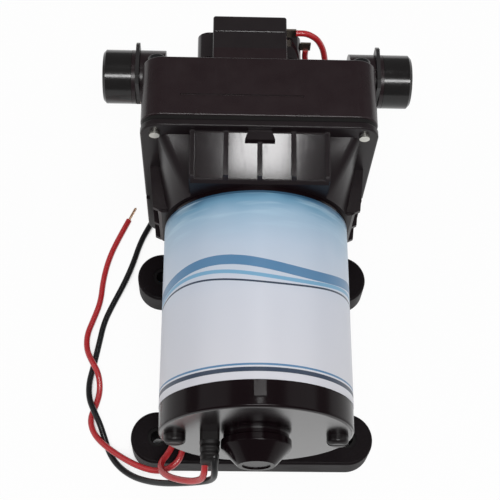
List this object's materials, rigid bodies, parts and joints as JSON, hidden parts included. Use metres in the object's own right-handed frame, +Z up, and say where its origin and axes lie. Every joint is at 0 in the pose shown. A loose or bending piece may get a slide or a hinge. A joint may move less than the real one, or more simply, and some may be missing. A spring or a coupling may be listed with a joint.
{
  "type": "caravan water pump",
  "caption": "Twelve-volt diaphragm fresh-water pump: motor on a saddle with rubber foot bars, ribbed drive housing, pump head with swivel ports and a pressure switch, bare lead ends.",
  "frame": {"origin": "centre of the four mounting holes, on the surface the rubber feet stand on", "axes": "+X towards the outlet port, +Y from the motor's rear end towards the pump head, +Z up"},
  "size_m": [0.1373, 0.1863, 0.1033],
  "materials": {
    "foot_rubber": "textured",
    "sleeve_steel": "zinc plated",
    "saddle_paint": "gloss black",
    "screw_steel": "zinc plated",
    "can_paint": "gloss black",
    "label_film": "printed film",
    "cap_paint": "gloss black",
    "bolt_black": "black oxide",
    "grommet_rubber": "matt",
    "bearing_steel": "ground",
    "magnet_ferrite": "ferrite",
    "card_board": "laminate",
    "holder_brass": "pressed",
    "brush_carbon": "carbon",
    "spring_steel": "drawn wire",
    "cutout_body": "moulded",
    "shaft_steel": "ground",
    "core_steel": "laminated",
    "winding_copper": "enamelled wire",
    "commutator_copper": "turned",
    "housing_plastic": "moulded",
    "cam_steel": "turned",
    "wobble_plastic": "moulded",
    "diaphragm_rubber": "moulded",
    "piston_plastic": "moulded",
    "valve_plastic": "moulded",
    "valve_rubber": "moulded",
    "head_plastic": "moulded",
    "fitting_plastic": "moulded",
    "clip_plastic": "moulded",
    "switch_plastic": "moulded",
    "contact_brass": "stamped",
    "terminal_brass": "tinned",
    "lead_clip_plastic": "moulded",
    "black_insulation": "extruded",
    "red_insulation": "extruded",
    "bare_copper": "stranded"
  },
  "bodies": {
    "pump": {"front_foot": "foot_rubber", "rear_foot": "foot_rubber", "mounting_sleeves": "sleeve_steel", "base_saddle": "saddle_paint", "saddle_screws": "screw_steel", "motor_can": "can_paint", "motor_label": "label_film", "rear_cap": "cap_paint", "through_bolts": "bolt_black", "wire_grommet": "grommet_rubber", "rear_bearing": "bearing_steel", "front_bearing": "bearing_steel", "field_magnets": "magnet_ferrite", "brush_card": "card_board", "brush_holders": "holder_brass", "brushes": "brush_carbon", "brush_springs": "spring_steel", "thermal_cutout": "cutout_body", "drive_housing": "housing_plastic", "diaphragm": "diaphragm_rubber", "valve_plate": "valve_plastic", "inlet_valves": "valve_rubber", "outlet_valve": "valve_rubber", "valve_seal": "valve_rubber", "upper_housing": "head_plastic", "head_screws": "screw_steel", "fitting_seals": "valve_rubber", "check_spring": "spring_steel", "switch_diaphragm": "valve_rubber", "switch_body": "switch_plastic", "switch_cover": "switch_plastic", "switch_screws": "screw_steel", "switch_spring": "spring_steel", "fixed_contact": "contact_brass", "switch_terminals": "terminal_brass", "lead_clips": "lead_clip_plastic", "black_lead": "black_insulation", "black_lead_tip": "bare_copper", "red_lead": "red_insulation", "red_lead_tip": "bare_copper", "motor_lead": "red_insulation", "supply_lead": "red_insulation"},
    "rotor": {"motor_shaft": "shaft_steel", "armature_core": "core_steel", "armature_windings": "winding_copper", "commutator": "commutator_copper", "wobble_cam": "cam_steel"},
    "wobble": {"cam_bearing": "bearing_steel", "wobble_plate": "wobble_plastic", "piston_discs": "piston_plastic", "piston_screws": "screw_steel"},
    "inlet_port": {"inlet_fitting": "fitting_plastic"},
    "outlet_port": {"outlet_fitting": "fitting_plastic"},
    "inlet_lock": {"inlet_clip": "clip_plastic"},
    "outlet_lock": {"outlet_clip": "clip_plastic"},
    "poppet": {"check_poppet": "piston_plastic"},
    "plunger": {"switch_plunger": "piston_plastic"},
    "contact": {"contact_arm": "contact_brass"},
    "adjuster": {"adjusting_screw": "screw_steel"}
  },
  "joints": [
    {"name": "motor_spin", "type": "hinge", "parent": "pump", "child": "rotor", "pos_m": [0, -0.0532, 0.057], "axis": [0, 1, 0], "continuous": true},
    {"name": "wobble_tilt", "type": "hinge", "parent": "pump", "child": "wobble", "pos_m": [0, 0.0511, 0.057], "axis": [1, 0, 0], "range_deg": [-3, 3], "stiffness_Nm_per_rad": 3, "deforming": ["diaphragm"]},
    {"name": "inlet_swivel", "type": "hinge", "parent": "pump", "child": "inlet_port", "pos_m": [-0.0466, 0.0995, 0.0753], "axis": [-1, 0, 0], "continuous": true},
    {"name": "outlet_swivel", "type": "hinge", "parent": "pump", "child": "outlet_port", "pos_m": [0.0466, 0.0995, 0.0753], "axis": [1, 0, 0], "continuous": true},
    {"name": "inlet_clip_lift", "type": "slide", "parent": "pump", "child": "inlet_lock", "axis": [0, 0, 1], "range_m": [0, 0.016]},
    {"name": "outlet_clip_lift", "type": "slide", "parent": "pump", "child": "outlet_lock", "axis": [0, 0, 1], "range_m": [0, 0.016]},
    {"name": "check_valve_travel", "type": "slide", "parent": "pump", "child": "poppet", "axis": [1, 0, 0], "range_m": [0, 0.004], "stiffness_N_per_m": 60, "springref_m": -0.004, "deforming": ["check_spring"]},
    {"name": "switch_travel", "type": "slide", "parent": "pump", "child": "plunger", "axis": [0, 1, 0], "range_m": [0, 0.001], "stiffness_N_per_m": 1500, "springref_m": -0.004, "deforming": ["switch_spring", "switch_diaphragm"]},
    {"name": "contact_hinge", "type": "hinge", "parent": "pump", "child": "contact", "pos_m": [0.01, 0.11502, 0.0724], "axis": [0, 0, -1], "range_deg": [0, 9.5]},
    {"name": "switch_adjust", "type": "hinge", "parent": "pump", "child": "adjuster", "pos_m": [-0.0034, 0.12, 0.0724], "axis": [0, -1, 0], "range_deg": [-360, 360]}
  ],
  "couplings": [
    {"joint": "contact_hinge", "follows": "switch_travel", "rad_per_m": 165.8}
  ]
}
